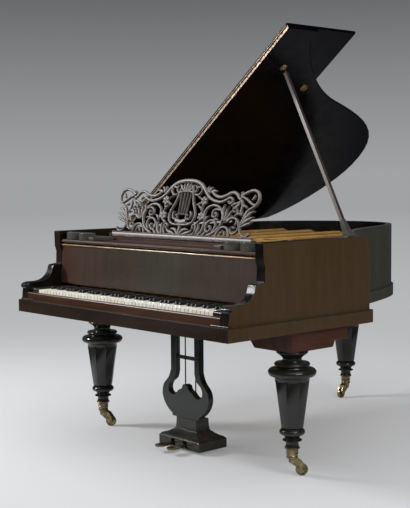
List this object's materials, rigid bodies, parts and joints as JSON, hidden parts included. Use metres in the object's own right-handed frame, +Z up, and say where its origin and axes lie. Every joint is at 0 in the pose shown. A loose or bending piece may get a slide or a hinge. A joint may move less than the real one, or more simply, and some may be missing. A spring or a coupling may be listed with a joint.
{
  "type": "baby grand piano",
  "caption": "Baby grand piano with its lid propped open, fretwork music desk, turned eight-sided legs on brass casters, and a pedal lyre.",
  "frame": {"origin": "middle of the piano's box, on the floor, with the lid propped open", "axes": "+Z up, keyboard facing -Y, bass side at -X, treble side at +X"},
  "size_m": [1.457, 1.92, 1.8618],
  "materials": {
    "ebonised": "polished black shellac, slightly worn",
    "case_veneer": "dark stained veneer, shellac polish",
    "rosewood": "reddish rosewood veneer, shellac polish",
    "spruce": "varnished spruce",
    "beech": "bare hardwood",
    "ivory": "warm white ivory, satin",
    "ebony": "ebony, satin",
    "gilt_iron": "gold bronzed cast iron",
    "steel_wire": "bright steel wire",
    "brass": "aged brass",
    "fretwork": "ebonised fretwork, dry polish"
  },
  "bodies": {
    "case": {"bass_side": "case_veneer", "treble_side": "case_veneer", "bent_side": "case_veneer", "plinth_band": "case_veneer", "key_bed": "rosewood", "frame_beams": "beech", "soundboard": "spruce", "iron_frame": "gilt_iron", "pin_block": "beech", "strings": "steel_wire", "bridge": "beech", "damper_rail": "ebonised", "key_frame": "beech", "key_slip": "rosewood", "key_block_bass": "ebonised", "key_block_treble": "ebonised", "white_keys": "ivory", "black_keys": "ebony", "prop_bracket": "ebonised", "leg_block_bass": "rosewood", "leg_block_treble": "rosewood", "leg_block_rear": "rosewood", "leg_bass": "ebonised", "leg_treble": "ebonised", "leg_rear": "ebonised", "caster_socket_bass": "brass", "caster_socket_treble": "brass", "caster_socket_rear": "brass", "lyre": "ebonised", "lyre_base": "ebonised", "lyre_crossbar": "brass"},
    "key_c": {"white_key_c": "ivory"},
    "key_c_sharp": {"black_key_c_sharp": "ebony"},
    "key_d": {"white_key_d": "ivory"},
    "key_d_sharp": {"black_key_d_sharp": "ebony"},
    "key_e": {"white_key_e": "ivory"},
    "key_f": {"white_key_f": "ivory"},
    "fallboard": {"fallboard": "rosewood"},
    "tray": {"music_tray": "rosewood"},
    "candle_board_bass": {"candle_board_bass": "rosewood"},
    "candle_board_treble": {"candle_board_treble": "rosewood"},
    "desk": {"music_desk": "fretwork"},
    "strut": {"desk_strut": "fretwork"},
    "lid": {"lid": "ebonised", "flap_hinge": "brass", "lid_hinge_front": "brass", "lid_hinge_rear": "brass"},
    "lid_flap": {"lid_flap": "ebonised"},
    "prop": {"prop": "rosewood"},
    "half_prop": {"half_prop": "rosewood"},
    "caster_bass": {"caster_fork_bass": "brass"},
    "wheel_bass": {"caster_wheel_bass": "brass"},
    "caster_treble": {"caster_fork_treble": "brass"},
    "wheel_treble": {"caster_wheel_treble": "brass"},
    "caster_rear": {"caster_fork_rear": "brass"},
    "wheel_rear": {"caster_wheel_rear": "brass"},
    "pedal_soft": {"pedal_soft": "brass"},
    "rod_soft": {"pedal_rod_soft": "brass"},
    "pedal_damper": {"pedal_damper": "brass"},
    "rod_damper": {"pedal_rod_damper": "brass"}
  },
  "joints": [
    {"name": "key_c_press", "type": "hinge", "parent": "case", "child": "key_c", "pos_m": [0, -0.706, 0.6725], "axis": [1, 0, 0], "range_deg": [0, 2.6], "stiffness_Nm_per_rad": 2, "springref_deg": -3.44},
    {"name": "key_c_sharp_press", "type": "hinge", "parent": "case", "child": "key_c_sharp", "pos_m": [0, -0.706, 0.6725], "axis": [1, 0, 0], "range_deg": [0, 2.6], "stiffness_Nm_per_rad": 2, "springref_deg": -3.44},
    {"name": "key_d_press", "type": "hinge", "parent": "case", "child": "key_d", "pos_m": [0, -0.706, 0.6725], "axis": [1, 0, 0], "range_deg": [0, 2.6], "stiffness_Nm_per_rad": 2, "springref_deg": -3.44},
    {"name": "key_d_sharp_press", "type": "hinge", "parent": "case", "child": "key_d_sharp", "pos_m": [0, -0.706, 0.6725], "axis": [1, 0, 0], "range_deg": [0, 2.6], "stiffness_Nm_per_rad": 2, "springref_deg": -3.44},
    {"name": "key_e_press", "type": "hinge", "parent": "case", "child": "key_e", "pos_m": [0, -0.706, 0.6725], "axis": [1, 0, 0], "range_deg": [0, 2.6], "stiffness_Nm_per_rad": 2, "springref_deg": -3.44},
    {"name": "key_f_press", "type": "hinge", "parent": "case", "child": "key_f", "pos_m": [0, -0.706, 0.6725], "axis": [1, 0, 0], "range_deg": [0, 2.6], "stiffness_Nm_per_rad": 2, "springref_deg": -3.44},
    {"name": "fallboard_fold", "type": "hinge", "parent": "case", "child": "fallboard", "pos_m": [0, -0.751, 0.7225], "axis": [1, 0, 0], "range_deg": [0, 94]},
    {"name": "tray_slide", "type": "slide", "parent": "case", "child": "tray", "axis": [0, -1, 0], "range_m": [0, 0.12]},
    {"name": "candle_board_bass_slide", "type": "slide", "parent": "tray", "child": "candle_board_bass", "axis": [0, -1, 0], "range_m": [0, 0.1]},
    {"name": "candle_board_treble_slide", "type": "slide", "parent": "tray", "child": "candle_board_treble", "axis": [0, -1, 0], "range_m": [0, 0.1]},
    {"name": "desk_fold", "type": "hinge", "parent": "tray", "child": "desk", "pos_m": [0, -0.594, 0.9423], "axis": [-1, 0, 0], "range_deg": [0, 72]},
    {"name": "strut_fold", "type": "hinge", "parent": "desk", "child": "strut", "pos_m": [0, -0.54678, 1.06908], "axis": [1, 0, 0], "range_deg": [0, 130]},
    {"name": "lid_raise", "type": "hinge", "parent": "case", "child": "lid", "pos_m": [-0.6975, 0.14, 0.9608], "axis": [0, -1, 0], "range_deg": [0, 8]},
    {"name": "flap_unfold", "type": "hinge", "parent": "lid", "child": "lid_flap", "pos_m": [-0.3174, -0.306, 1.28614], "axis": [0.7826, 0, 0.6225], "range_deg": [0, 170]},
    {"name": "prop_fold", "type": "hinge", "parent": "case", "child": "prop", "pos_m": [0.624, -0.175, 0.947], "axis": [-0.6342, -0.7044, -0.3187], "range_deg": [0, 68]},
    {"name": "half_prop_raise", "type": "hinge", "parent": "case", "child": "half_prop", "pos_m": [0.624, -0.22, 0.947], "axis": [-1, 0, 0], "range_deg": [0, 75]},
    {"name": "caster_bass_swivel", "type": "hinge", "parent": "case", "child": "caster_bass", "pos_m": [-0.631, -0.535, 0.06], "axis": [0, 0, 1], "continuous": true},
    {"name": "caster_bass_roll", "type": "hinge", "parent": "caster_bass", "child": "wheel_bass", "pos_m": [-0.59471, -0.51592, 0.025], "axis": [-0.4653, 0.8851, 0], "continuous": true},
    {"name": "caster_treble_swivel", "type": "hinge", "parent": "case", "child": "caster_treble", "pos_m": [0.631, -0.535, 0.06], "axis": [0, 0, 1], "continuous": true},
    {"name": "caster_treble_roll", "type": "hinge", "parent": "caster_treble", "child": "wheel_treble", "pos_m": [0.64912, -0.49822, 0.025], "axis": [-0.897, 0.442, 0], "continuous": true},
    {"name": "caster_rear_swivel", "type": "hinge", "parent": "case", "child": "caster_rear", "pos_m": [-0.258, 0.84, 0.06], "axis": [0, 0, 1], "continuous": true},
    {"name": "caster_rear_roll", "type": "hinge", "parent": "caster_rear", "child": "wheel_rear", "pos_m": [-0.25579, 0.79906, 0.025], "axis": [0.9986, 0.0538, 0], "continuous": true},
    {"name": "pedal_soft_press", "type": "hinge", "parent": "case", "child": "pedal_soft", "pos_m": [-0.04, -0.567, 0.03], "axis": [1, 0, 0], "range_deg": [0, 5], "stiffness_Nm_per_rad": 8, "springref_deg": -8.59},
    {"name": "rod_soft_rise", "type": "slide", "parent": "case", "child": "rod_soft", "axis": [0, 0, 1], "range_m": [0, 0.004]},
    {"name": "pedal_damper_press", "type": "hinge", "parent": "case", "child": "pedal_damper", "pos_m": [0.04, -0.567, 0.03], "axis": [1, 0, 0], "range_deg": [0, 5], "stiffness_Nm_per_rad": 8, "springref_deg": -8.59},
    {"name": "rod_damper_rise", "type": "slide", "parent": "case", "child": "rod_damper", "axis": [0, 0, 1], "range_m": [0, 0.004]}
  ],
  "couplings": [
    {"joint": "strut_fold", "follows": "desk_fold", "ratio": 1.7804},
    {"joint": "rod_soft_rise", "follows": "pedal_soft_press", "m_per_rad": 0.045},
    {"joint": "rod_damper_rise", "follows": "pedal_damper_press", "m_per_rad": 0.045}
  ]
}
